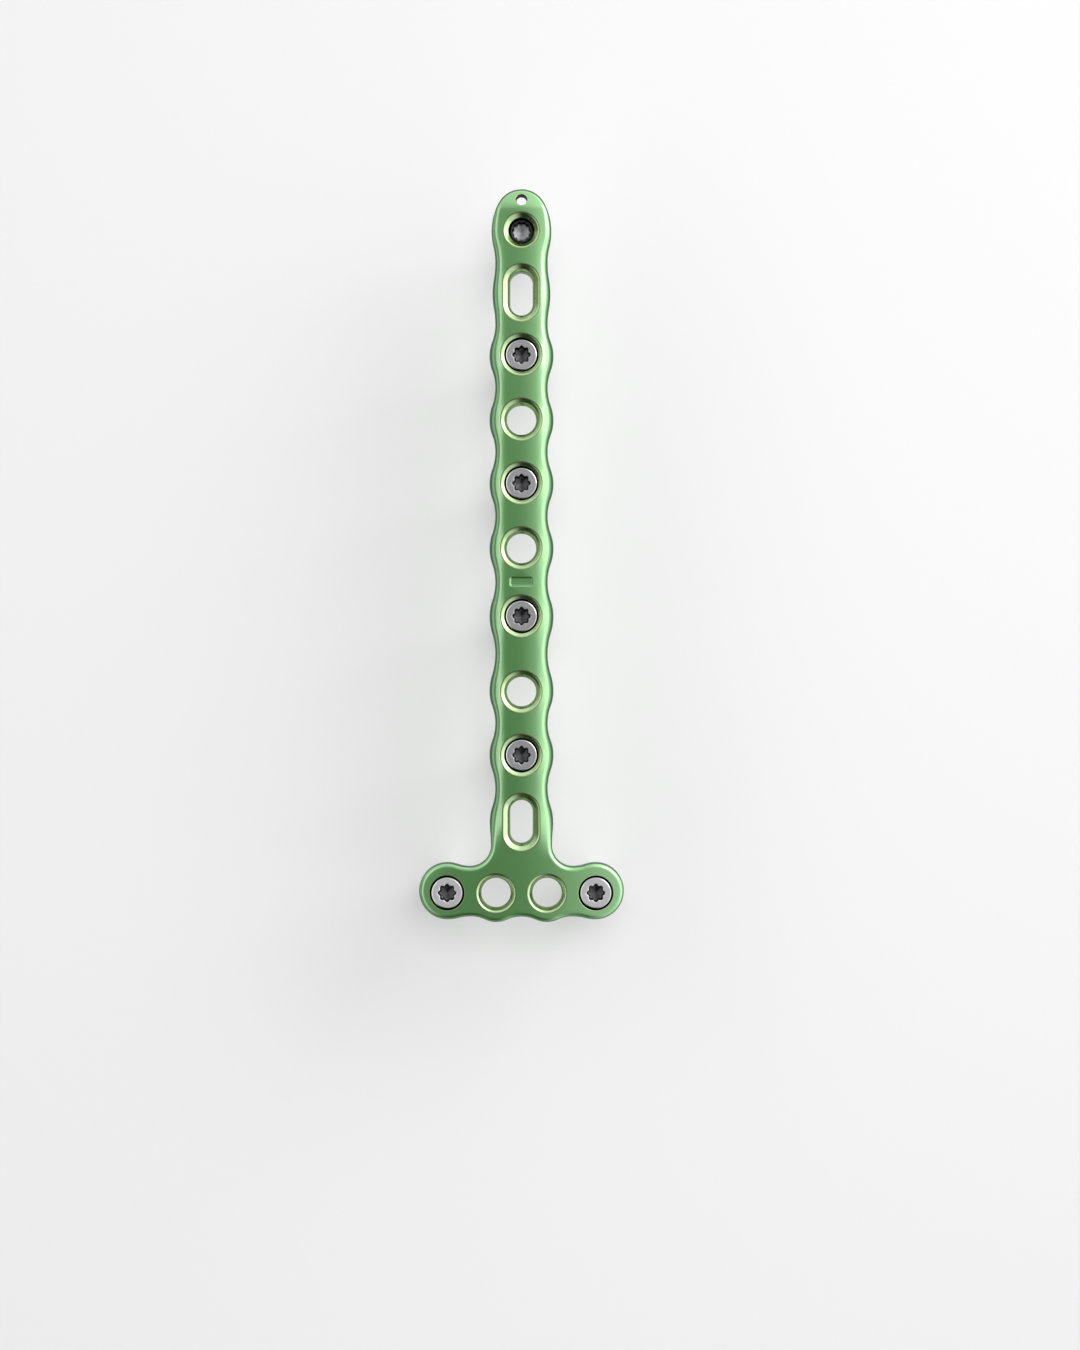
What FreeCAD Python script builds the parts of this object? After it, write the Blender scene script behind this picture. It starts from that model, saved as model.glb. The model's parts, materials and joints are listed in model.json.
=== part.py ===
"""T-shaped bone plate for the front of the lower shin, with its seven locking screws.

All sizes are millimetres. The plate lies front face up: X runs across it, Y along the shaft to the tapered tip and
Z out of the front face. The origin is below the middle of the plate, at the level that the long screws' tips share.
"""

import math
import os
from collections import namedtuple
from itertools import accumulate

from FreeCAD import Vector
import Part

# Plate thickness and the curves of its two faces
shaft_thickness = 3.3       # at the middle of the shaft
front_radius = 95.0         # curve of the front face across the plate
bone_radius = 105.0         # the hollow bone side
front_chamfer = 0.7         # round the rim of the front face

# Shaft outline: a boss beside each hole and a waist midway between two holes
hole_pitch = 10.0           # the usual distance between two holes of the shaft
tip_width = 9.6             # beside the first hole
upper_slot_width = 9.3
lower_slot_width = 10.2
boss_width = 10.3           # beside each round hole of the shaft
waist_width = 8.4
boss_share = 0.45           # part of each boss-to-waist curve that is the boss
tip_reach = 6.84            # from the first hole to the end of the tip
tip_radius = 4.0
bevel_start = 3.9           # from the first hole to where the front slopes down to the tip
bevel_angle = 24.0

# Head outline
head_row_gap = 11.4         # from the lower slot to the row of head holes
neck_width = 9.8
neck_fillet = 3.4
head_top_gap = 4.2          # from the head row up to the hollow beside each neck fillet
lobe_radius = 4.53          # round end of the head about each end hole
lobe_offset = 0.26          # the lobes' centres lie this much above the row of holes
end_hole_x = 11.93
inner_hole_x = 4.1
inner_boss_gap = 4.64       # from the head row down to the edge below each inner hole
lower_waist_gap = 3.76      # from the head row down to the hollows between the holes

# Long locking screw and the threaded hole that it seats in
screw_length = 28.0
screw_sink = 0.75           # head top below the middle of the shaft's front face
head_diameter = 5.1
head_wall = 0.55            # from the head top to where its taper starts
head_thread_length = 0.85   # the tapered part, which carries the locking thread
shank_diameter = 3.5
hole_diameter = 4.6         # open bore below the tapered seat, which runs on up to the front face

# Short locking screw, seated deep in the hole nearest the tip
small_screw_length = 26.0
small_sink = 1.5
small_head_diameter = 3.76
small_head_wall = 0.5
small_head_thread_length = 0.6
small_shank_diameter = 2.7
small_hole_diameter = 3.3
small_mouth_diameter = 5.8  # countersink at the front face
small_mouth_depth = 0.95    # from there to the recess round the head
small_recess_diameter = 4.1

# Both screws
seat_clearance = 0.03       # between a head's taper and its seat
socket_depth = 1.5
tip_length = 1.2
tip_flat = 1.4              # diameter of the blunt end

# Star sockets
lobe_count = 8
socket_radius = 1.49        # at the lobes
bump_radius = 1.18          # at the bumps between them
small_lobe_count = 10
small_socket_radius = 1.56
small_bump_radius = 1.3
lobe_part = 0.14            # half a lobe's width as a part of the angle between two lobes

# Elongated holes for ball-headed screws
slot_width = 3.6
slot_travel = 3.3           # between the two ends' centres
ball_radius = 3.0
slot_mouth = 5.8            # width of the seat at the front face

# Wire hole in the tip
wire_hole_diameter = 1.7
wire_hole_gap = 4.9         # from the first hole

# Bone side: shallow hollows across each waist
undercut_depth = 0.6
undercut_radius = 5.0

# Shallow marking pocket on the front
pocket_length = 3.7
pocket_width = 1.5
pocket_corner = 0.4
pocket_depth = 0.25
pocket_drop = 5.4           # from the middle hole of the shaft

# Holes along the shaft from the tip: what sits there, pitches from the hole before, width of the plate beside it
shaft_row = [
    ("small screw", 0.0, tip_width),
    ("slot", 1.0, upper_slot_width),
    ("screw", 0.99, boss_width),
    ("open", 1.04, boss_width),
    ("screw", 1.02, boss_width),
    ("open", 1.04, boss_width),
    ("screw", 1.09, boss_width),
    ("open", 1.21, boss_width),
    ("screw", 1.02, boss_width),
    ("slot", 1.07, lower_slot_width),
]

# Modelling aids
margin = 4.0                # how far cutting tools reach past the plate
sliver = 0.01               # an edge that spans less than this across the plate stands upright

# Worked out from the sizes above
front = screw_length + screw_sink                   # height of the middle of the shaft's front face
row_length = hole_pitch * sum(pitches for kind, pitches, width in shaft_row)
plate_length = tip_reach + row_length + head_row_gap + inner_boss_gap
plate_top = plate_length / 2
plate_bottom = -plate_length / 2
first_hole_y = plate_top - tip_reach
hole_ys = [first_hole_y - hole_pitch * pitches for pitches in accumulate(row[1] for row in shaft_row)]
waist_ys = [(upper + lower) / 2 for upper, lower in zip(hole_ys, hole_ys[1:])]
head_row_y = hole_ys[-1] - head_row_gap
head_top_y = head_row_y + head_top_gap
neck_y = head_top_y + neck_fillet

# A screw with the hole that takes it. The mouth holds (radius, depth) rings above the seat.
Screw = namedtuple("Screw", [
    "length", "sink", "head_radius", "head_wall", "thread_length", "shank_radius", "bore_radius", "mouth",
    "lobe_count", "socket_radius", "bump_radius",
])
long_screw = Screw(
    length=screw_length,
    sink=screw_sink,
    head_radius=head_diameter / 2,
    head_wall=head_wall,
    thread_length=head_thread_length,
    shank_radius=shank_diameter / 2,
    bore_radius=hole_diameter / 2,
    mouth=[],
    lobe_count=lobe_count,
    socket_radius=socket_radius,
    bump_radius=bump_radius,
)
small_screw = Screw(
    length=small_screw_length,
    sink=small_sink,
    head_radius=small_head_diameter / 2,
    head_wall=small_head_wall,
    thread_length=small_head_thread_length,
    shank_radius=small_shank_diameter / 2,
    bore_radius=small_hole_diameter / 2,
    mouth=[(small_mouth_diameter / 2, 0.0), (small_recess_diameter / 2, small_mouth_depth)],
    lobe_count=small_lobe_count,
    socket_radius=small_socket_radius,
    bump_radius=small_bump_radius,
)

UP = Vector(0, 0, 1)
RIGHT = Vector(1, 0, 0)
LEFT = Vector(-1, 0, 0)
DOWN_SHAFT = Vector(0, -1, 0)


def ogee(start, end, along, first_share):
    """Two tangent arcs from start to end, both ending parallel to along."""
    step = end - start
    run = step.dot(along)
    across = step - along * run
    rise = across.Length
    across.normalize()
    total_radius = (run ** 2 + rise ** 2) / (2 * rise)
    half_turn = math.atan2(rise, run)

    def middle(point, radius, sense):
        return point + (along * math.sin(half_turn) + across * (1 - math.cos(half_turn))) * (radius * sense)

    meet = start + step * first_share
    first = Part.Arc(start, middle(start, total_radius * first_share, 1), meet)
    second = Part.Arc(meet, middle(end, total_radius * (1 - first_share), -1), end)
    return [first.toShape(), second.toShape()]


def tip_edges():
    """The right half of the tip: a wide arc from beside the first hole, then the round end."""
    half = tip_width / 2
    rise = tip_reach - tip_radius
    side_radius = (half ** 2 + rise ** 2 - tip_radius ** 2) / (2 * (half - tip_radius))
    side_centre = Vector(half - side_radius, first_hole_y, 0)
    end_centre = Vector(0, first_hole_y + rise, 0)
    direction = (end_centre - side_centre).normalize()
    meet = end_centre + direction * tip_radius
    angle = math.atan2(direction.y, direction.x)
    side_middle = side_centre + Vector(math.cos(angle / 2), math.sin(angle / 2), 0) * side_radius
    end_angle = (angle + math.pi / 2) / 2
    end_middle = end_centre + Vector(math.cos(end_angle), math.sin(end_angle), 0) * tip_radius
    return [
        Part.Arc(Vector(0, plate_top, 0), end_middle, meet).toShape(),
        Part.Arc(meet, side_middle, Vector(half, first_hole_y, 0)).toShape(),
    ]


def shaft_edges():
    """The right side of the shaft, from boss to waist to boss, down to the neck."""
    bosses = [Vector(width / 2, y, 0) for (kind, pitches, width), y in zip(shaft_row, hole_ys)]
    edges = []
    for upper, lower, y in zip(bosses, bosses[1:], waist_ys):
        waist = Vector(waist_width / 2, y, 0)
        edges += ogee(upper, waist, DOWN_SHAFT, boss_share)
        edges += ogee(waist, lower, DOWN_SHAFT, 1 - boss_share)
    return edges + ogee(bosses[-1], Vector(neck_width / 2, neck_y, 0), DOWN_SHAFT, boss_share)


def head_edges():
    """The right half of the head, from the neck round the end lobe to the middle of the lower edge."""
    neck = Vector(neck_width / 2, neck_y, 0)
    fillet_centre = neck + RIGHT * neck_fillet
    fillet_middle = fillet_centre + (LEFT + DOWN_SHAFT).normalize() * neck_fillet
    hollow = fillet_centre + DOWN_SHAFT * neck_fillet
    lobe_centre = Vector(end_hole_x, head_row_y + lobe_offset, 0)
    lobe_top = lobe_centre - DOWN_SHAFT * lobe_radius
    lobe_side = lobe_centre + RIGHT * lobe_radius
    lobe_bottom = lobe_centre + DOWN_SHAFT * lobe_radius
    outer_waist = Vector((end_hole_x + inner_hole_x) / 2, head_row_y - lower_waist_gap, 0)
    inner_boss = Vector(inner_hole_x, plate_bottom, 0)
    middle_waist = Vector(0, head_row_y - lower_waist_gap, 0)
    return (
        [Part.Arc(neck, fillet_middle, hollow).toShape()]
        + ogee(hollow, lobe_top, RIGHT, 1 - boss_share)
        + [Part.Arc(lobe_top, lobe_side, lobe_bottom).toShape()]
        + ogee(lobe_bottom, outer_waist, LEFT, boss_share)
        + ogee(outer_waist, inner_boss, LEFT, 1 - boss_share)
        + ogee(inner_boss, middle_waist, LEFT, boss_share)
    )


def outline_face():
    """The plate seen from the front: the right half and its mirror image."""
    right_half = tip_edges() + shaft_edges() + head_edges()
    mirrored = [edge.mirror(Vector(0, 0, 0), RIGHT) for edge in reversed(right_half)]
    wire = Part.Wire(Part.__sortEdges__(right_half + mirrored))
    return Part.Face(wire)


def lengthwise_cylinder(radius, top):
    """A cylinder along the plate's whole length, its uppermost line at the height top and its seam underneath."""
    base = Vector(0, plate_top + margin, top - radius)
    return Part.makeCylinder(radius, plate_length + 2 * margin, base, DOWN_SHAFT)


def front_rim(blank):
    """The edges where the plate's wall meets its front face."""
    chosen = []
    for edge in blank.Edges:
        box = edge.BoundBox
        upright = max(box.XLength, box.YLength) < sliver
        middle_of_wall = front - shaft_thickness / 2 - box.Center.x ** 2 / (2 * front_radius)
        if not upright and box.Center.z > middle_of_wall:
            chosen.append(edge)
    return chosen


def tip_bevel():
    """The wedge that is cut away in front of the tip."""
    reach = tip_reach + margin
    rise = reach * math.tan(math.radians(bevel_angle))
    y = first_hole_y + bevel_start
    corners = [
        Vector(-tip_width, y - reach, front + rise),
        Vector(-tip_width, y + reach, front - rise),
        Vector(-tip_width, y + reach, front + rise),
    ]
    return Part.Face(Part.makePolygon(corners + corners[:1])).extrude(RIGHT * 2 * tip_width)


def plate_blank():
    """The outline between the curved front and the hollow bone side, with a chamfered rim and a sloping tip."""
    slab = outline_face()
    slab.translate(UP * (front - 2 * shaft_thickness))
    slab = slab.extrude(UP * 4 * shaft_thickness)
    blank = slab.common(lengthwise_cylinder(front_radius, front))
    blank = blank.cut(lengthwise_cylinder(bone_radius, front - shaft_thickness))
    blank = blank.makeChamfer(front_chamfer, front_rim(blank))
    return blank.cut(tip_bevel())


def turned(profile):
    """A solid of revolution about Z from (radius, height) points, closed along the axis."""
    points = [Vector(0, radius, z) for radius, z in profile]
    return Part.Face(Part.makePolygon(points + points[:1])).revolve(Vector(0, 0, 0), UP, 360)


def moved(shape, x, y, z=0.0):
    """A copy of a shape at another place."""
    copy = shape.copy()
    copy.translate(Vector(x, y, z))
    return copy


def seat_heights(screw):
    """Heights of the head's top and of the two ends of its tapered thread."""
    top = front - screw.sink
    taper_top = top - screw.head_wall
    return top, taper_top, taper_top - screw.thread_length


def hole_cutter(screw):
    """The mouth, the tapered seat and the open bore of a screw's hole, as one cutting tool."""
    top, taper_top, taper_bottom = seat_heights(screw)
    walls = [(radius, front - depth) for radius, depth in screw.mouth]
    walls += [(screw.head_radius + seat_clearance, taper_top), (screw.bore_radius, taper_bottom)]
    (upper, upper_z), (lower, lower_z) = walls[:2]
    above = front + margin
    below = front - shaft_thickness - margin
    spread = (upper - lower) / (upper_z - lower_z)
    return turned([
        (0, above),
        (lower + spread * (above - lower_z), above),
        *walls[1:],
        (screw.bore_radius, below),
        (0, below),
    ])


def star_socket(screw):
    """The drive recess, a star with narrow lobes and blunt bumps between them."""
    lobe_angle = 2 * math.pi / screw.lobe_count
    half_lobe = lobe_angle * lobe_part
    floor = front - screw.sink - socket_depth

    def point(radius, angle):
        return Vector(radius * math.cos(angle), radius * math.sin(angle), floor)

    corners = []
    for i in range(screw.lobe_count):
        angle = i * lobe_angle
        corners.append(point(screw.socket_radius, angle - half_lobe))
        corners.append(point(screw.socket_radius, angle + half_lobe))
        corners.append(point(screw.bump_radius, angle + lobe_angle / 2))
    return Part.Face(Part.makePolygon(corners + corners[:1])).extrude(UP * (socket_depth + margin))


def locking_screw(screw):
    """A whole screw on the Z axis: head with its socket, taper of the head thread, shank and tip."""
    top, taper_top, taper_bottom = seat_heights(screw)
    tip_z = top - screw.length
    body = turned([
        (0, top),
        (screw.head_radius, top),
        (screw.head_radius, taper_top),
        (screw.bore_radius - seat_clearance, taper_bottom),
        (screw.shank_radius, taper_bottom),
        (screw.shank_radius, tip_z + tip_length),
        (tip_flat / 2, tip_z),
        (0, tip_z),
    ])
    return body.cut(star_socket(screw))


def stadium(width, travel):
    """A long hole's outline along Y: two half circles joined by straight sides."""
    radius = width / 2
    end = travel / 2
    edges = [
        Part.LineSegment(Vector(radius, -end, 0), Vector(radius, end, 0)).toShape(),
        Part.Arc(Vector(radius, end, 0), Vector(0, end + radius, 0), Vector(-radius, end, 0)).toShape(),
        Part.LineSegment(Vector(-radius, end, 0), Vector(-radius, -end, 0)).toShape(),
        Part.Arc(Vector(-radius, -end, 0), Vector(0, -end - radius, 0), Vector(radius, -end, 0)).toShape(),
    ]
    return Part.Face(Part.Wire(edges))


def slot_cutter():
    """A long hole with a seat for a ball-headed screw that can slide from end to end."""
    seat_z = front + math.sqrt(ball_radius ** 2 - (slot_mouth / 2) ** 2)
    through = moved(stadium(slot_width, slot_travel), 0, 0, front - 2 * shaft_thickness)
    ends = [Part.makeSphere(ball_radius, Vector(0, slot_travel / 2 * side, seat_z)) for side in (-1, 1)]
    trough = Part.makeCylinder(ball_radius, slot_travel, Vector(0, -slot_travel / 2, seat_z), Vector(0, 1, 0))
    return through.extrude(UP * 4 * shaft_thickness).fuse(ends + [trough])


def wire_hole_cutter():
    """The small hole in the sloping tip."""
    base = Vector(0, first_hole_y + wire_hole_gap, front - 2 * shaft_thickness)
    return Part.makeCylinder(wire_hole_diameter / 2, 4 * shaft_thickness, base)


def undercut_cutter(y):
    """A cylinder across the bone side that leaves a shallow hollow under a waist, its seam out of the way below."""
    z = front - shaft_thickness + undercut_depth - undercut_radius
    return Part.makeCylinder(undercut_radius, 2 * boss_width, Vector(boss_width, y, z), LEFT)


def pocket_cutter():
    """The shallow rounded rectangle on the front."""
    corner = Vector(-pocket_length / 2, -pocket_width / 2, front - pocket_depth)
    box = Part.makeBox(pocket_length, pocket_width, pocket_depth + margin, corner)
    upright = [edge for edge in box.Edges if edge.BoundBox.ZLength > pocket_depth]
    return box.makeFillet(pocket_corner, upright)


def bone_plate():
    """The plate with all its holes, the shallow pocket and the undercuts."""
    long_hole = hole_cutter(long_screw)
    hole_kinds = {
        "small screw": hole_cutter(small_screw),
        "slot": slot_cutter(),
        "screw": long_hole,
        "open": long_hole,
    }
    cutters = [moved(hole_kinds[row[0]], 0, y) for row, y in zip(shaft_row, hole_ys)]
    cutters += [moved(long_hole, x, head_row_y) for x in (-end_hole_x, -inner_hole_x, inner_hole_x, end_hole_x)]
    middle_hole_y = hole_ys[len(hole_ys) // 2]
    cutters += [wire_hole_cutter(), moved(pocket_cutter(), 0, middle_hole_y - pocket_drop)]
    cutters += [undercut_cutter(y) for y in waist_ys]
    return plate_blank().cut(cutters)


def main():
    os.makedirs("parts", exist_ok=True)
    shapes = {"bone_plate": bone_plate()}
    shapes["tip_screw"] = moved(locking_screw(small_screw), 0, first_hole_y)
    long_one = locking_screw(long_screw)
    screw_ys = [y for (kind, pitches, width), y in zip(shaft_row, hole_ys) if kind == "screw"]
    for i, y in enumerate(screw_ys, 1):
        shapes[f"shaft_screw_{i}"] = moved(long_one, 0, y)
    shapes["head_screw_left"] = moved(long_one, -end_hole_x, head_row_y)
    shapes["head_screw_right"] = moved(long_one, end_hole_x, head_row_y)
    for name, shape in shapes.items():
        print(name, shape.isValid(), len(shape.Solids), round(shape.Volume, 2))
        shape.exportStep(f"parts/{name}.step")


main()
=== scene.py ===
"""Looks of the bone plate and its locking screws, seen from above as they stand on the screws' tips.

Sizes are millimetres unless a name says otherwise. They become metres where vertices are made.
"""

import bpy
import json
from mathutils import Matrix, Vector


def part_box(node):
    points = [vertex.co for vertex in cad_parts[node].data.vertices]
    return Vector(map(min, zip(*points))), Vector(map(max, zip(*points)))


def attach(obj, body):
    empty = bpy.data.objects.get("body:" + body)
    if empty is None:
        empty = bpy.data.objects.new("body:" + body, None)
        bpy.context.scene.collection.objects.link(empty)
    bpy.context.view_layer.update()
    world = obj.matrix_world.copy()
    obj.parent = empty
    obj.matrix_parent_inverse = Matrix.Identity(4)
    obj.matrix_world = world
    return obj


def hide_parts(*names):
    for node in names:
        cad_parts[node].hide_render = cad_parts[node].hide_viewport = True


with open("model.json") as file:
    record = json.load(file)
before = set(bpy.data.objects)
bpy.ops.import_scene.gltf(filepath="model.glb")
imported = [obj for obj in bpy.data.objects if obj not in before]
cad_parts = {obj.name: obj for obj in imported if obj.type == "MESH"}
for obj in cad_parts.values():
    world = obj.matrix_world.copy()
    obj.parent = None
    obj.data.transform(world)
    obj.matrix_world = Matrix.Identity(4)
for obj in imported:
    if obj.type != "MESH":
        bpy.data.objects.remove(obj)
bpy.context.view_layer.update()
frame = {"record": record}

import json
import math
from bisect import bisect

import bmesh
import bpy
import numpy as np
from mathutils import Matrix, Vector
from mathutils.geometry import delaunay_2d_cdt

MM = 0.001


def axis(node):
    """The x and y of a screw's axis."""
    low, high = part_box(node)
    middle = (low + high) / 2 / MM
    return middle.x, middle.y


# Heights and reach of the plate
plate_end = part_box("bone_plate")[1] / MM
thickness = 3.3
front = plate_end.z             # middle of the shaft's front face
back = front - thickness        # middle of the back

# Curves of its faces
shaft_crown = 22.0              # radius of the shaft's front face
head_crown = 95.0               # radius of the head's front face
crown_change = (-40.0, -49.0)   # y where the shaft's crown starts to flatten, and where it is the head's
shoulder_start = 2.7            # from the middle of the shaft to where its sides bend down
shoulder_end = 6.0
shoulder_radius = 3.0
shoulder_fade = (46.0, 52.0)    # y where the bend starts to fade towards the tip, and where it has gone
hollow_radius = 105.0           # of the back, across the plate
undercut_depth = 0.6            # of the shallow channel across the back at each waist
undercut_radius = 5.0
bevel_start = 3.9               # from the first hole to where the front slopes down to the tip
bevel_slope = math.tan(math.radians(24))
bevel_blend = 0.35              # the slope starts with a curve this far to either side

# Radii of its rims
shaft_rounding = 1.0            # of the front rim, along the shaft
tip_rounding = 0.6
head_rounding = 0.75
back_rounding = 0.4
tip_change = (53.0, 57.0)       # y where the shaft's rounding starts to change, and where it is the tip's
head_change = (-43.0, -47.0)    # y where it starts to change, and where it is the head's

# Plate outline
tip_radius = 4.0
tip_width = 9.6
upper_slot_width = 9.3
lower_slot_width = 10.2
boss_width = 10.3
waist_width = 8.4
boss_share = 0.45               # part of the way from a boss to a waist that the arc round the boss takes
neck_width = 9.8
neck_fillet = 3.4
head_top_gap = 4.2              # from the head's row of holes up to its upper edge beside the neck
lobe_radius = 4.53              # round the head's ends
lobe_offset = 0.26              # from the row of holes up to the lobes' centres
inner_boss_gap = 4.64           # from the row of holes down to the bosses under the inner holes
lower_waist_gap = 3.76          # from the row of holes down to the waists beside those bosses

# Places of the holes
mounts = {mount["name"]: mount for mount in frame["record"]["mounts"]}
screw_nodes = [f"shaft_screw_{i}" for i in range(1, 5)]
open_holes = ["hole_upper", "hole_middle", "hole_lower"]
slot_middle = mounts["slots"]["pos_m"][1] / MM
slot_spacing = mounts["slots"]["dims"]["spacing_y_mm"]
wire_hole_y = mounts["wire_hole"]["pos_m"][1] / MM
inner_hole_x = mounts["head_hole_right"]["pos_m"][0] / MM
end_hole_x, head_row_y = axis("head_screw_right")
head_top_y = head_row_y + head_top_gap
pocket_y = -4.3

# Holes along the shaft from the tip: what is there, its y, the plate's width beside it
shaft_row = [
    ("small screw", axis("tip_screw")[1], tip_width),
    ("slot", slot_middle + slot_spacing / 2, upper_slot_width),
    ("slot", slot_middle - slot_spacing / 2, lower_slot_width),
]
shaft_row += [("screw", axis(node)[1], boss_width) for node in screw_nodes]
shaft_row += [("open", mounts[name]["pos_m"][1] / MM, boss_width) for name in open_holes]
shaft_row.sort(key=lambda hole: -hole[1])
first_hole_y = shaft_row[0][1]
tip_reach = plate_end.y - first_hole_y
bevel_y = first_hole_y + bevel_start
waist_ys = [(upper[1] + lower[1]) / 2 for upper, lower in zip(shaft_row, shaft_row[1:])]

# Mesh density
arc_steps = 7
front_rim_steps = 9
back_rim_steps = 5
hole_segments = 96
screw_segments = 160
skin_spacing = 0.55


def ogee(start, end, along, first_share):
    """Points of two tangent arcs from start up to end, both ending parallel to along."""
    run = (end - start).dot(along)
    across = end - start - along * run
    rise = across.length
    across.normalize()
    radius = (run ** 2 + rise ** 2) / (2 * rise)
    turn = 2 * math.atan2(rise, run)

    def sweep(part, angle):
        return along * (part * radius * math.sin(angle)) + across * (part * radius * (1 - math.cos(angle)))

    steps = [i / arc_steps for i in range(arc_steps)]
    first = [start + sweep(first_share, turn * t) for t in steps]
    second = [end - sweep(1 - first_share, turn * (1 - t)) for t in steps]
    return first + second


def arc(centre, radius, start_angle, end_angle, steps):
    """Points of an arc without its last point. Angles are in radians."""
    points = []
    for i in range(steps):
        angle = start_angle + (end_angle - start_angle) * i / steps
        points.append(centre + Vector((math.cos(angle), math.sin(angle))) * radius)
    return points


def plate_outline():
    """The plate's outline, clockwise from the end of the tip: the right half and its mirror image."""
    half = tip_width / 2
    rise = tip_reach - tip_radius
    side_radius = (half ** 2 + rise ** 2 - tip_radius ** 2) / (2 * (half - tip_radius))
    side_centre = Vector((half - side_radius, first_hole_y))
    tip_centre = Vector((0, first_hole_y + rise))
    meet = math.atan2(rise, tip_centre.x - side_centre.x)
    points = arc(tip_centre, tip_radius, math.pi / 2, meet, 3 * arc_steps)
    points += arc(side_centre, side_radius, meet, 0, arc_steps)

    down = Vector((0, -1))
    bosses = [Vector((width / 2, y)) for _, y, width in shaft_row]
    for upper, lower, y in zip(bosses, bosses[1:], waist_ys):
        waist = Vector((waist_width / 2, y))
        points += ogee(upper, waist, down, boss_share) + ogee(waist, lower, down, 1 - boss_share)
    neck = Vector((neck_width / 2, head_top_y + neck_fillet))
    points += ogee(bosses[-1], neck, down, boss_share)
    points += arc(neck + Vector((neck_fillet, 0)), neck_fillet, math.pi, 1.5 * math.pi, 2 * arc_steps)

    right = Vector((1, 0))
    left = Vector((-1, 0))
    hollow = Vector((neck.x + neck_fillet, head_top_y))
    lobe = Vector((end_hole_x, head_row_y + lobe_offset))
    lobe_height = Vector((0, lobe_radius))
    waist_y = head_row_y - lower_waist_gap
    outer_waist = Vector(((end_hole_x + inner_hole_x) / 2, waist_y))
    inner_boss = Vector((inner_hole_x, head_row_y - inner_boss_gap))
    middle_waist = Vector((0, waist_y))
    points += ogee(hollow, lobe + lobe_height, right, 1 - boss_share)
    points += arc(lobe, lobe_radius, math.pi / 2, -math.pi / 2, 5 * arc_steps)
    points += ogee(lobe - lobe_height, outer_waist, left, boss_share)
    points += ogee(outer_waist, inner_boss, left, 1 - boss_share)
    points += ogee(inner_boss, middle_waist, left, boss_share)
    mirrored = [Vector((-p.x, p.y)) for p in reversed(points[1:])]
    return points + [middle_waist] + mirrored


def smooth_step(t):
    """Rises from 0 to 1 without a corner while t does."""
    t = min(max(t, 0.0), 1.0)
    return t * t * (3 - 2 * t)


def passed(y, stretch):
    """How far y has passed through a stretch of the plate, from 0 to 1."""
    start, end = stretch
    return smooth_step((y - start) / (end - start))


def front_z(x, y):
    """Height of the crowned front face, which bends down at the shaft's sides and slopes down at the tip."""
    change = passed(y, crown_change)
    curve = (1 - change) / shaft_crown + change / head_crown
    bent = (1 - change) * (1 - passed(y, shoulder_fade))
    shoulder = max(0.0, min(abs(x), shoulder_end) - shoulder_start)
    past = y - bevel_y
    if past <= -bevel_blend:
        drop = 0.0
    elif past >= bevel_blend:
        drop = bevel_slope * past
    else:
        drop = bevel_slope * (past + bevel_blend) ** 2 / (4 * bevel_blend)
    return front - curve * x * x / 2 - bent * shoulder ** 2 / (2 * shoulder_radius) - drop


def back_z(x, y):
    """Height of the hollow back, raised across each waist."""
    lift = 0.0
    for waist_y in waist_ys:
        away = abs(y - waist_y)
        if away < undercut_radius:
            lift = max(lift, math.sqrt(undercut_radius ** 2 - away ** 2) - undercut_radius + undercut_depth)
    return back - x * x / (2 * hollow_radius) + lift


def rim_rounding(y):
    """Radius of the front rim's rounding: smaller at the tip and round the head than along the shaft."""
    tip_part = (tip_rounding - shaft_rounding) * passed(y, tip_change)
    head_part = (head_rounding - shaft_rounding) * passed(y, head_change)
    return shaft_rounding + tip_part + head_part


def new_mesh():
    """An empty mesh whose vertices hold a number in a ring or profile and a length along a lathe's cut."""
    mesh = bmesh.new()
    mesh.verts.layers.int.new("number")
    mesh.verts.layers.float.new("turning")
    return mesh


def add_rim(mesh, outline):
    """The plate's wall, rounded into both faces. Returns the borders of the skins, the front's first."""
    count = len(outline)
    inward = []
    for i, point in enumerate(outline):
        along = outline[(i + 1) % count] - outline[i - 1]
        inward.append(Vector((along.y, -along.x)).normalized())

    def rim_point(i, at_front, inset, depth):
        size = rim_rounding(outline[i].y) if at_front else back_rounding
        x, y = outline[i] + inward[i] * (inset * size)
        z = front_z(x, y) - depth * size if at_front else back_z(x, y) + depth * size
        return Vector((x, y, z)) * MM

    # Side, inset and depth of each ring in roundings, from one skin over both rims to the other
    steps = [(True, 1.12, 0.0)]
    for i in range(front_rim_steps + 1):
        angle = math.pi / 2 * i / front_rim_steps
        steps.append((True, 1 - math.sin(angle), 1 - math.cos(angle)))
    for i in range(back_rim_steps + 1):
        angle = math.pi / 2 * i / back_rim_steps
        steps.append((False, 1 - math.cos(angle), 1 - math.sin(angle)))
    steps.append((False, 1.3, 0.0))

    number = mesh.verts.layers.int["number"]
    front_border = [mesh.verts.new(rim_point(i, *steps[0])) for i in range(count)]
    for i, vert in enumerate(front_border):
        vert[number] = i
    ring = [mesh.edges.new((front_border[i - 1], front_border[i])) for i in range(count)]
    for step in steps[1:]:
        made = bmesh.ops.extrude_edge_only(mesh, edges=ring)["geom"]
        verts = [item for item in made if isinstance(item, bmesh.types.BMVert)]
        for vert in verts:
            vert.co = rim_point(vert[number], *step)
        fresh = set(verts)
        edges = [item for item in made if isinstance(item, bmesh.types.BMEdge)]
        ring = [edge for edge in edges if fresh.issuperset(edge.verts)]
    return front_border, sorted(verts, key=lambda vert: vert[number])


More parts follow.
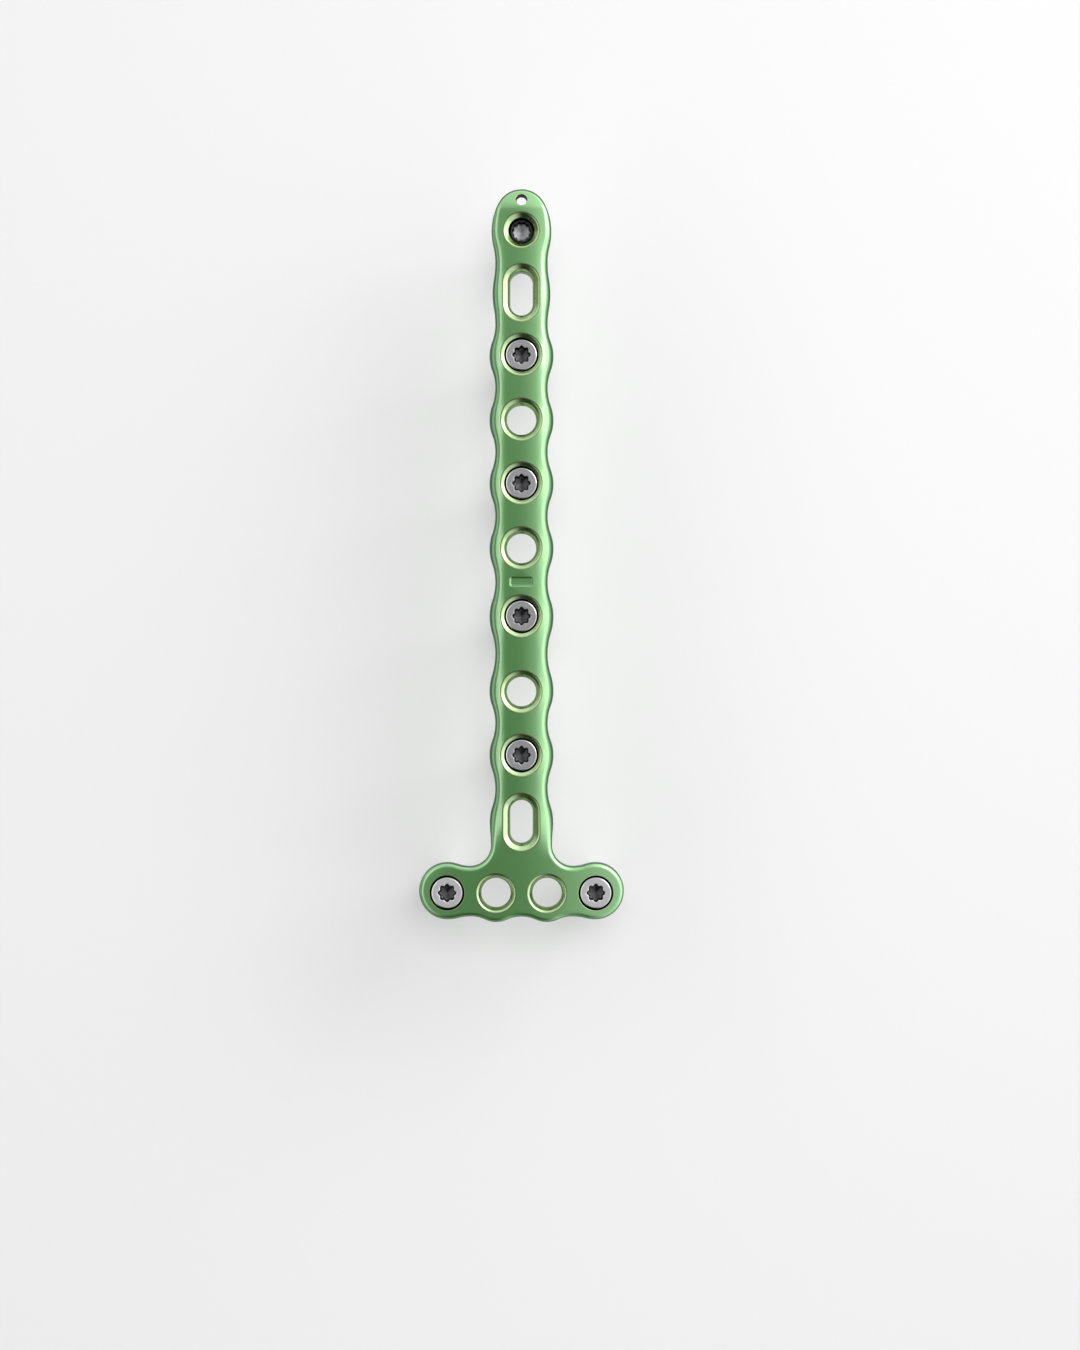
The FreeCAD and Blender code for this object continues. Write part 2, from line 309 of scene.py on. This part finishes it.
def spun(profile, steps):
    """A profile of (radius, height) points spun about Z. Each vertex holds its number in the profile."""
    mesh = new_mesh()
    number = mesh.verts.layers.int["number"]
    turning = mesh.verts.layers.float["turning"]
    verts = [mesh.verts.new((radius * MM, 0, z * MM)) for radius, z in profile]
    cut = 0.0
    for i, vert in enumerate(verts):
        vert[number] = i
        cut += (vert.co - verts[max(i - 1, 0)].co).length / MM
        vert[turning] = cut
    edges = [mesh.edges.new(pair) for pair in zip(verts, verts[1:])]
    bmesh.ops.spin(mesh, geom=verts + edges, axis=(0, 0, 1), angle=2 * math.pi, steps=steps, use_merge=True)
    return mesh


def rounded(start, corner, end, steps):
    """Points of a curve from start to end that rounds off the corner between them."""
    parts = [i / steps for i in range(steps + 1)]
    return [start * (1 - t) ** 2 + corner * (2 * t * (1 - t)) + end * t ** 2 for t in parts]


def softened(profile, rounding):
    """A profile of (radius, height) points with a small curve at each sharp corner.

    A point just outside each end of a curve keeps the walls beside it flat.
    """
    corners = [Vector(p) for p in profile]
    points = [corners[0]]
    for last, corner, following in zip(corners, corners[1:], corners[2:]):
        behind = last - corner
        ahead = following - corner
        if behind.angle(-ahead) < math.radians(15):
            points.append(corner)
            continue
        size = min(rounding, behind.length * 0.4, ahead.length * 0.4)
        start = corner + behind.normalized() * size
        end = corner + ahead.normalized() * size
        points.append(start + behind.normalized() * size * 0.3)
        points += rounded(start, corner, end, 4)
        points.append(end + ahead.normalized() * size * 0.3)
    points.append(corners[-1])
    return points


class Opening:
    """A hole or pocket in the plate, whose walls are (radius, height) points spun round a point.

    A travel in x and y draws it out to a long hole. Its mouth has a rounded lip and follows the front
    face, and its last rows follow the back. A thread is its top, bottom, pitch and depth.
    """

    settling = 1.2          # depth below the mouth's foot at which the wall no longer follows the face
    corner_rounding = 0.08
    thread_steps = 12       # points for each turn of thread
    back_mouth = ((0.0, 0.15), (0.06, 0.045), (0.16, 0.0), (0.2, 0.0))      # reach outwards and rise

    def __init__(self, x, y, walls, travel=(0.0, 0.0), lip=0.18, thread=None, through=True,
                 painted_shade_below=-math.inf):
        self.x = x
        self.y = y
        self.walls = walls
        self.travel = travel
        self.thread = thread
        self.through = through
        self.painted_shade_below = painted_shade_below
        corner = Vector(walls[0])
        skin = corner + Vector((lip, 0))
        down = (Vector(walls[1]) - corner).normalized() * lip
        self.profile = [skin + Vector((0.35 * lip, 0))] + rounded(skin, corner, corner + down, 5)
        self.profile.append(corner + down * 1.35)
        self.profile += self.threaded(softened(walls, self.corner_rounding)[1:])
        self.wall_rows = len(self.profile)
        if through:
            bore = walls[-1][0]
            self.profile += [Vector((bore + reach, back + rise)) for reach, rise in self.back_mouth]

    def threaded(self, profile):
        """The profile with extra points along the threaded length."""
        if not self.thread:
            return profile
        top, bottom, pitch, _ = self.thread
        points = [profile[0]]
        for before, after in zip(profile, profile[1:]):
            steps = 1
            if before.y <= top + 0.01 and after.y >= bottom - 0.01:
                steps = max(1, round((before.y - after.y) / pitch * self.thread_steps))
            points += [before.lerp(after, (i + 1) / steps) for i in range(steps)]
        return points

    def thread_depth(self, angle, z):
        """How far the thread stands out of the wall."""
        if not self.thread or not self.thread[1] < z < self.thread[0]:
            return 0.0
        top, bottom, pitch, depth = self.thread
        fade = min(1.0, (top - z) / pitch, (z - bottom) / pitch)
        return depth * fade * (0.5 + 0.5 * math.cos(2 * math.pi * (z / pitch - angle / (2 * math.pi)))) ** 2

    def place(self, angle, radius):
        """Where the radius at an angle ends, seen from the front."""
        cos, sin = math.cos(angle), math.sin(angle)
        x = self.x + math.copysign(self.travel[0] / 2, cos) + radius * cos
        y = self.y + math.copysign(self.travel[1] / 2, sin) + radius * sin
        return x, y

    def fitted(self, row, point):
        """Where a point of the spun profile belongs on the plate."""
        angle = math.atan2(point.y, point.x)
        radius = math.hypot(point.x, point.y)
        x, y = self.place(angle, radius - self.thread_depth(angle, point.z))
        if row >= self.wall_rows:
            return Vector((x, y, back_z(x, y) + point.z - back))
        share = 1 + (point.z - self.walls[1][1]) / self.settling
        return Vector((x, y, point.z + min(max(share, 0.0), 1.0) * (front_z(x, y) - front)))

    def wall(self):
        """The opening's wall in its place on the plate.

        Its materials are the front face's in a pocket, and in a hole the machined metal and, below a given
        height, near-black metal as painted shade.
        """
        mesh = spun(self.profile, hole_segments)
        number = mesh.verts.layers.int["number"]
        half_step = Matrix.Rotation(math.pi / hole_segments, 3, "Z")
        bmesh.ops.rotate(mesh, verts=mesh.verts, cent=(0, 0, 0), matrix=half_step)
        for vert in mesh.verts:
            vert.co = self.fitted(vert[number], vert.co / MM) * MM
        # Below the given height a hole's wall takes near-black painted shade
        if self.through:
            for face in mesh.faces:
                top = self.profile[min(vert[number] for vert in face.verts)].y
                face.material_index = 2 if top < self.painted_shade_below else 1
        return mesh


def add_part(mesh, part):
    """Moves a part's geometry into the mesh. Returns its vertices there."""
    before = len(mesh.verts)
    data = bpy.data.meshes.new("part")
    part.to_mesh(data)
    part.free()
    mesh.from_mesh(data)
    bpy.data.meshes.remove(data)
    mesh.verts.ensure_lookup_table()
    return mesh.verts[before:]


def inside(points, loop):
    """Which of the points lie inside a closed loop, by counting crossings."""
    x, y = points[:, 0:1], points[:, 1:2]
    ax, ay = loop[:, 0], loop[:, 1]
    bx, by = np.roll(ax, -1), np.roll(ay, -1)
    spans = (ay > y) != (by > y)
    with np.errstate(divide="ignore", invalid="ignore"):
        crossings = spans & (x < ax + (y - ay) * (bx - ax) / (by - ay))
    return crossings.sum(axis=1) % 2 == 1


def add_skin(mesh, border, openings, surface):
    """A curved skin between a border loop of vertices and the loops of the openings.

    Its points lie in staggered rows on the surface, and a flat triangulation joins them to the loops.
    """
    loops = [border] + openings
    flat = [np.array([(v.co.x / MM, v.co.y / MM) for v in loop]) for loop in loops]
    low = flat[0].min(axis=0)
    high = flat[0].max(axis=0)
    xs = np.arange(low[0], high[0], skin_spacing)
    ys = np.arange(low[1], high[1], skin_spacing * 0.866)
    grid = np.array([(x + (row % 2) * skin_spacing / 2, y) for row, y in enumerate(ys) for x in xs])
    keep = inside(grid, flat[0])
    for loop in flat[1:]:
        keep &= ~inside(grid, loop)
    grid = grid[keep]
    edge_points = np.concatenate(flat)
    nearest = np.array([np.hypot(*(edge_points - p).T).min() for p in grid])
    grid = grid[nearest > skin_spacing * 0.6]

    verts = [v for loop in loops for v in loop]
    verts += [mesh.verts.new(Vector((x, y, surface(x, y))) * MM) for x, y in grid]
    coords = [Vector(p) for p in np.concatenate([edge_points, grid])]
    edges = []
    first = 0
    for loop in loops:
        edges += [(first + i, first + (i + 1) % len(loop)) for i in range(len(loop))]
        first += len(loop)
    points, _, faces, origins, _, _ = delaunay_2d_cdt(coords, edges, [], 0, 1e-6)
    centres = np.array([[sum(points[i][k] for i in face) / 3 for k in (0, 1)] for face in faces])
    keep = inside(centres, flat[0])
    for loop in flat[1:]:
        keep &= ~inside(centres, loop)
    for face, kept in zip(faces, keep):
        if kept:
            mesh.faces.new([verts[origins[i][0]] for i in face])


def finished(name, mesh, node, materials):
    """A mesh object with outward normals and smooth faces, standing for a node of the frame."""
    bmesh.ops.recalc_face_normals(mesh, faces=mesh.faces)
    for face in mesh.faces:
        face.smooth = True
    data = bpy.data.meshes.new(name)
    mesh.to_mesh(data)
    mesh.free()
    for material in materials:
        data.materials.append(material)
    piece = bpy.data.objects.new(name, data)
    bpy.context.scene.collection.objects.link(piece)
    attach(piece, "root")
    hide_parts(node)
    return piece


def plate_openings():
    """Every hole of the plate and its pocket."""
    # Radii and heights of the walls, from the mouth down
    below = back + 0.2
    screw_hole = [(3.3, front), (2.74, front - 0.5), (2.72, front - 1.25), (2.59, front - 1.3),
                  (2.30, front - 2.15), (2.30, below)]
    end_hole = [(2.8, front), (2.79, front - 0.12), (2.78, front - 1.4)] + screw_hole[4:]
    open_hole = [(3.3, front), (2.74, front - 0.5), (2.56, front - 0.85), (2.44, front - 2.3), (2.44, below)]
    head_hole = [(3.04, front), (2.74, front - 0.3)] + open_hole[2:]
    small_hole = [(2.78, front), (2.05, front - 0.7), (2.0, front - 1.95), (1.9, front - 2.0),
                  (1.65, front - 2.6), (1.65, below)]
    slot = [(2.9, front), (2.2, front - 0.6), (1.95, front - 1.05), (1.84, front - 1.5), (1.8, front - 2.0),
            (1.8, below)]
    wire_hole = [(0.95, front), (0.85, front - 0.8), (0.85, below)]
    pocket = [(0.42, front), (0.25, front - 0.22), (0.05, front - 0.24)]
    thread = (front - 0.75, front - 2.6, 0.7, 0.13)

    # The holes that hold screws, and the wire hole, take near-black painted shade below the height each is
    # given
    openings = []
    for kind, y, _ in shaft_row:
        if kind == "slot":
            openings.append(Opening(0, y, slot, travel=(0.0, 3.3)))
        elif kind == "small screw":
            openings.append(Opening(0, y, small_hole, painted_shade_below=front - 0.8))
        elif kind == "screw":
            openings.append(Opening(0, y, screw_hole, painted_shade_below=front - 0.6))
        else:
            openings.append(Opening(0, y, open_hole, thread=thread))
    for side in (-1, 1):
        openings.append(Opening(side * inner_hole_x, head_row_y, head_hole, thread=thread))
        openings.append(Opening(side * end_hole_x, head_row_y, end_hole, lip=0.06,
                                painted_shade_below=front - 0.05))
    openings.append(Opening(0, wire_hole_y, wire_hole, lip=0.06, painted_shade_below=front - 0.03))
    openings.append(Opening(0, pocket_y, pocket, travel=(2.9, 0.7), lip=0.1, through=False))
    return openings


def build_plate(materials):
    """The whole plate as one closed mesh."""
    mesh = new_mesh()
    front_border, back_border = add_rim(mesh, plate_outline())
    front_loops = []
    back_loops = []
    number = mesh.verts.layers.int["number"]
    for opening in plate_openings():
        centre = Vector((opening.x, opening.y)) * MM
        verts = add_part(mesh, opening.wall())
        verts.sort(key=lambda vert: math.atan2(vert.co.y - centre.y, vert.co.x - centre.x))
        front_loops.append([vert for vert in verts if vert[number] == 0])
        last = [vert for vert in verts if vert[number] == len(opening.profile) - 1]
        if opening.through:
            back_loops.append(last)
        else:
            mesh.faces.new(last)
    add_skin(mesh, front_border, front_loops, front_z)
    add_skin(mesh, back_border, back_loops, back_z)
    return finished("plate", mesh, "bone_plate", materials)


class Screw:
    """A locking screw, its heights measured from the top of its head.

    The head's straight wall ends in a taper that narrows it to the bore under it. The socket's two radii are
    those of its lobes and of the bumps between them.
    """

    thread_pitch = 1.25
    socket_floor = -1.15
    tip_radius = 0.7
    tip_length = 1.5
    flute_length = 4.5
    flute_depth = 0.5
    flute_width = 0.42      # half its angle, in radians
    flute_twist = 0.12      # radians for each millimetre of length

    def __init__(self, length, head_radius, head_wall, taper, bore_radius, shank_radius, core_radius, lobes,
                 socket):
        self.length = length
        self.rim = head_radius - 0.15
        self.shank_radius = shank_radius
        self.core_radius = core_radius
        self.lobes = lobes
        self.outer, self.inner = socket
        self.shank_top = -head_wall - taper - 0.5

        # The recess, with a drilled floor
        floor = self.socket_floor
        outer = self.outer
        profile = [(0.0, floor - 0.42), (outer * 0.1, floor - 0.4), (outer * 0.6, floor - 0.03),
                   (outer - 0.15, floor)]
        self.zones = [len(profile) - 1]     # the last row of each material but the last
        profile += [(outer - 0.12, floor + 0.08), (outer, -0.16), (outer + 0.01, -0.1),
                    (outer + 0.03, -0.04)]
        self.zones.append(len(profile) - 1)

        # The top, on which the recess's star fades to a plain circle
        self.plain = self.rim - 0.03
        self.lip = outer + 0.08
        steps = 5
        profile += [(self.lip + (self.plain - self.lip) * i / steps, 0.0) for i in range(steps + 1)]
        self.top_rows = len(profile)

        # The edge between two rounded corners, the head's side and its taper
        side = [(self.rim - 0.03, 0.0), (self.rim, 0.0), (head_radius, -0.06), (head_radius, -head_wall),
                (bore_radius - 0.03, -head_wall - taper), (core_radius, self.shank_top)]
        self.zones += [self.top_rows + 3, self.top_rows + 11]
        profile += [tuple(point) for point in softened(side, 0.04)]

        # The shank, on which the thread is drawn
        shank_steps = round((length + self.shank_top) / self.thread_pitch * 10)
        for i in range(1, shank_steps):
            profile.append((core_radius, self.shank_top - (length + self.shank_top) * i / shank_steps))
        profile.append((0.0, -length))
        self.profile = profile

    def star_radius(self, angle):
        """Radius of the drive recess: round lobes with bumps between them."""
        wave = 0.5 + 0.5 * math.cos(angle * self.lobes)
        return self.inner + (self.outer - self.inner) * wave ** 0.7

    def star_share(self, radius):
        """How much of the star's form a point of the socket or the head's top takes on."""
        if radius <= self.lip:
            return float(radius > self.outer * 0.7)
        return (self.plain - radius) / (self.plain - self.lip)

    def shank_radius_at(self, angle, z):
        """Radius of the threaded shank, with its blunt tip and three cutting flutes."""
        from_tip = z + self.length
        grown = smooth_step(from_tip / self.tip_length)
        tip = self.tip_radius + (self.shank_radius - self.tip_radius) * grown
        fade = min(1.0, (self.shank_top - z) / self.thread_pitch)
        phase = z / self.thread_pitch - angle / (2 * math.pi)
        crest = (0.5 + 0.5 * math.cos(2 * math.pi * phase)) ** 3
        thread = self.core_radius + (self.shank_radius - self.core_radius) * crest * fade
        flute = 0.0
        for k in range(3):
            middle = 2 * math.pi * k / 3 + from_tip * self.flute_twist
            turn = (angle - middle + math.pi) % (2 * math.pi) - math.pi
            flute += self.flute_depth * math.exp(-((turn / self.flute_width) ** 4))
        flute *= 1 - smooth_step((from_tip - 0.75 * self.flute_length) / (0.5 * self.flute_length))
        return min(thread, tip) - flute * min(1.0, tip / self.shank_radius)

    def shaped(self, row, point):
        """Where a point of the spun profile belongs on the screw."""
        angle = math.atan2(point.y, point.x)
        radius = math.hypot(point.x, point.y)
        if row < self.top_rows:
            radius -= (self.outer - self.star_radius(angle)) * self.star_share(radius)
        elif -self.length < point.z < self.shank_top and row < len(self.profile) - 1:
            radius = self.shank_radius_at(angle, point.z)
        return Vector((radius * math.cos(angle), radius * math.sin(angle), point.z))

    def mesh(self):
        """The screw as one closed mesh on the Z axis, its head's top at zero.

        Its materials are for the recess's floor, the recess's wall, the top, the top's edge and the rest.
        """
        mesh = spun(self.profile, screw_segments)
        number = mesh.verts.layers.int["number"]
        for vert in mesh.verts:
            vert.co = self.shaped(vert[number], vert.co / MM) * MM
        for face in mesh.faces:
            face.material_index = bisect(self.zones, min(vert[number] for vert in face.verts))
        bmesh.ops.remove_doubles(mesh, verts=mesh.verts, dist=0.0001 * MM)
        return mesh


def add_screws(screw, names, materials):
    """A copy of the screw in the place of each node. Each of the names is a piece's and its node's."""
    pattern = screw.mesh()
    for name, node in names:
        x, y = axis(node)
        mesh = pattern.copy()
        bmesh.ops.translate(mesh, verts=mesh.verts, vec=Vector((x * MM, y * MM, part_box(node)[1].z)))
        finished(name, mesh, node, materials)
    pattern.free()


def linear(code):
    """Linear colour of a hex code."""
    channels = [int(code[i:i + 2], 16) / 255 for i in (1, 3, 5)]
    return [c / 12.92 if c <= 0.04045 else ((c + 0.055) / 1.055) ** 2.4 for c in channels] + [1.0]


def new_material(name):
    """A material, its nodes and its shader."""
    material = bpy.data.materials.new(name)
    material.use_nodes = True
    return material, material.node_tree, material.node_tree.nodes["Principled BSDF"]


def add_node(tree, kind, inputs=(), **settings):
    """A node with settings on it and values or links for its inputs."""
    node = tree.nodes.new(kind)
    for key, value in settings.items():
        setattr(node, key, value)
    for key, value in dict(inputs).items():
        if isinstance(value, bpy.types.NodeSocket):
            tree.links.new(value, node.inputs[key])
        else:
            node.inputs[key].default_value = value
    return node


# Clear titanium oxide over the coloured metal, and the slant at which its gloss gives way to painted shade
film_ior = 2.7
film_roughness = 0.16
slant_fade_start = 0.28       # how slantwise the gloss starts to fade and the painted shade to darken, from 0 straight on to 1 along the surface
slant_fade_end = 0.6          # how slantwise the gloss has gone and the painted shade is full


def metal(name, code, roughness, grain_size, grain_depth, slantwise=None, turned=False):
    """Titanium with a fine grain, or with the rings of a lathe tool where it is turned.

    With a slantwise colour it has an oxide film whose gloss fades where it is seen slantwise, and its colour
    turns
    to that darker colour there: partly the film's change of hue, partly painted shade on rims and steep
    walls.
    The grain's size and depth are millimetres.
    """
    material, tree, shader = new_material(name)
    shader.inputs["Base Color"].default_value = linear(code)
    shader.inputs["Metallic"].default_value = 1.0
    shader.inputs["Roughness"].default_value = roughness
    if slantwise:
        shader.inputs["Coat IOR"].default_value = film_ior
        shader.inputs["Coat Roughness"].default_value = film_roughness
        slant = add_node(tree, "ShaderNodeLayerWeight", {"Blend": 0.5})
        faded = add_node(tree, "ShaderNodeMapRange",
                         {"Value": slant.outputs["Facing"], "From Min": slant_fade_start, "From Max": slant_fade_end},
                         interpolation_type="SMOOTHSTEP")
        film = add_node(tree, "ShaderNodeMath", {0: 1.0, 1: faded.outputs["Result"]}, operation="SUBTRACT")
        tree.links.new(film.outputs[0], shader.inputs["Coat Weight"])
        # Slantwise the colour turns darker: painted shade, partly the film's change of hue
        slant_hue_and_shade = add_node(tree, "ShaderNodeMix", {"Factor": faded.outputs["Result"]}, data_type="RGBA")
        slant_hue_and_shade.inputs["A"].default_value = linear(code)
        slant_hue_and_shade.inputs["B"].default_value = linear(slantwise)
        tree.links.new(slant_hue_and_shade.outputs["Result"], shader.inputs["Base Color"])
    grain = add_node(tree, "ShaderNodeTexNoise", {"Scale": 1 / (grain_size * MM)})
    if turned:
        path = add_node(tree, "ShaderNodeAttribute", attribute_name="turning")
        grain.noise_dimensions = "1D"
        grain.inputs["Scale"].default_value = 1 / grain_size
        tree.links.new(path.outputs["Fac"], grain.inputs["W"])
    else:
        place = add_node(tree, "ShaderNodeTexCoord")
        tree.links.new(place.outputs["Object"], grain.inputs["Vector"])
    bump = add_node(tree, "ShaderNodeBump", {"Height": grain.outputs["Fac"], "Distance": grain_depth * MM})
    tree.links.new(bump.outputs["Normal"], shader.inputs["Normal"])
    return material


# Anodised titanium, tumbled to a satin gloss: the plate
# Its dark slantwise green is painted shade along the rims, partly the film's change of hue
anodised = metal("titanium_anodised_green", "#72BE66", 0.4, 0.35, 0.004, slantwise="#2C5A34")
# The same film on the turned countersinks, more yellow
# Its dark olive slantwise colour is painted shade on the countersinks' steep walls, partly the film's change
# of hue
machined = metal("titanium_machined_seat", "#98C46E", 0.26, 0.3, 0.004, slantwise="#4A6A2C", turned=True)
# Bare titanium alloy, turned
bare = metal("titanium_turned", "#B8B8BA", 0.48, 0.25, 0.006, turned=True)
# The same alloy, paler: the tops of the head's screws
pale_titanium = metal("titanium_pale_top", "#E0E0E2", 0.5, 0.3, 0.01)
# A turned edge, finished with a sharper cut
polished = metal("titanium_polished_edge", "#DCDCDE", 0.15, 0.25, 0.002, turned=True)
# The broached drive recess, rough and dull, its grey darkened as painted shade in the recess
broached_painted_shade = metal("titanium_broached_painted_shade", "#505052", 0.3, 0.2, 0.01)
# Near-black painted shade on the recess's steep wall
painted_shade_recess_wall = metal("painted_shade_recess_wall_metal", "#19191A", 0.5, 0.2, 0.01)
# Near-black painted shade on the lower walls of holes: the threaded seat in the narrow gap round a screw's
# head, and the wire hole's wall
painted_shade = metal("painted_shade_seat", "#0D110A", 0.6, 0.2, 0.01)

build_plate([anodised, machined, painted_shade])
long_screw = Screw(28.0, 2.47, 0.55, 0.85, 2.3, 1.75, 1.45, 8, (1.46, 1.16))
small_screw = Screw(26.0, 1.9, 0.5, 0.6, 1.65, 1.35, 1.1, 10, (1.58, 1.38))
shaft_names = [(f"screw_shaft_{i}", node) for i, node in enumerate(screw_nodes, 1)]
head_names = [("screw_head_left", "head_screw_left"), ("screw_head_right", "head_screw_right")]
# The long screws' recess floors are darkened as painted shade, and every recess wall is near-black painted
# shade
add_screws(long_screw, shaft_names, [broached_painted_shade, painted_shade_recess_wall, bare, polished, bare])
add_screws(long_screw, head_names, [broached_painted_shade, painted_shade_recess_wall, pale_titanium, polished, bare])
# The small screw's head sits deep in its hole: its top and edge take the dark broached metal as painted
# shade
add_screws(small_screw, [("screw_tip", "tip_screw")], [bare, painted_shade_recess_wall, broached_painted_shade, broached_painted_shade, bare])

# Floor, light and camera
scene = bpy.context.scene
floor_mesh = bmesh.new()
bmesh.ops.create_grid(floor_mesh, x_segments=1, y_segments=1, size=3.0)
floor_data = bpy.data.meshes.new("floor")
floor_mesh.to_mesh(floor_data)
floor_mesh.free()
floor = bpy.data.objects.new("floor", floor_data)
scene.collection.objects.link(floor)
paper, _, paper_shader = new_material("paper")
paper_shader.inputs["Roughness"].default_value = 0.9
paper_shader.inputs["Base Color"].default_value = linear("#E2E2E2")
floor_data.materials.append(paper)

# Surroundings: dim overhead, bright low down to the right and beyond the tip, bright higher up to the left
world = bpy.data.worlds.new("world")
world.use_nodes = True
scene.world = world
sky = world.node_tree
direction = add_node(sky, "ShaderNodeTexCoord")
parts = add_node(sky, "ShaderNodeSeparateXYZ", {"Vector": direction.outputs["Generated"]})
background = sky.nodes["Background"]
background.inputs["Color"].default_value = linear("#FFFFFF")
# Each glow: the axis it grows along, where it starts and is full, its lowest Z, and the light it adds
glows = [
    ("X", -0.04, 0.55, -1.0, 0.95),
    ("X", -0.28, -0.72, 0.3, 1.15),
    ("Y", -0.05, 0.7, -1.0, 0.62),
    ("Y", -0.1, -0.6, -1.0, -0.1),
    ("X", 0.7, 0.95, -1.0, 0.9),
    ("Y", 0.75, 0.97, -1.0, 0.5),
]
strength = 0.12
for side, start, end, lowest, rise in glows:
    across = add_node(sky, "ShaderNodeMapRange",
                      {"Value": parts.outputs[side], "From Min": start, "From Max": end, "To Max": rise},
                      interpolation_type="SMOOTHSTEP")
    above = add_node(sky, "ShaderNodeMapRange",
                     {"Value": parts.outputs["Z"], "From Min": lowest, "From Max": lowest + 0.25},
                     interpolation_type="SMOOTHSTEP")
    total = add_node(sky, "ShaderNodeMath",
                     {0: across.outputs["Result"], 1: above.outputs["Result"], 2: strength},
                     operation="MULTIPLY_ADD")
    strength = total.outputs[0]
sky.links.new(strength, background.inputs["Strength"])


def softbox(name, place, aim, size, power):
    """A square area light at a place, facing a point, both in millimetres."""
    light = bpy.data.lights.new(name, "AREA")
    light.size = size * MM
    light.energy = power
    box = bpy.data.objects.new(name, light)
    box.location = Vector(place) * MM
    box.rotation_euler = (Vector(aim) - Vector(place)).to_track_quat("-Z", "Y").to_euler()
    scene.collection.objects.link(box)
    return box


softbox("key", (430, 300, 340), (0, 0, 28), 420, 1.3)
# The wash lights the floor, and the metal doesn't mirror it
wash = softbox("wash", (30, 60, 600), (0, 0, 0), 160, 0.9)
wash.visible_glossy = False

# The camera looks straight down from above the middle of its frame
view_distance = 400     # from the plate's front
view_width = 172.8      # of the frame at the plate's front
lens = bpy.data.cameras.new("camera")
camera = bpy.data.objects.new("camera", lens)
scene.collection.objects.link(camera)
scene.camera = camera
lens.sensor_fit = "HORIZONTAL"
lens.sensor_width = 36
lens.lens = lens.sensor_width * view_distance / view_width
camera.location = Vector((2.98, -19.24, front + view_distance)) * MM
scene.view_settings.view_transform = "Standard"
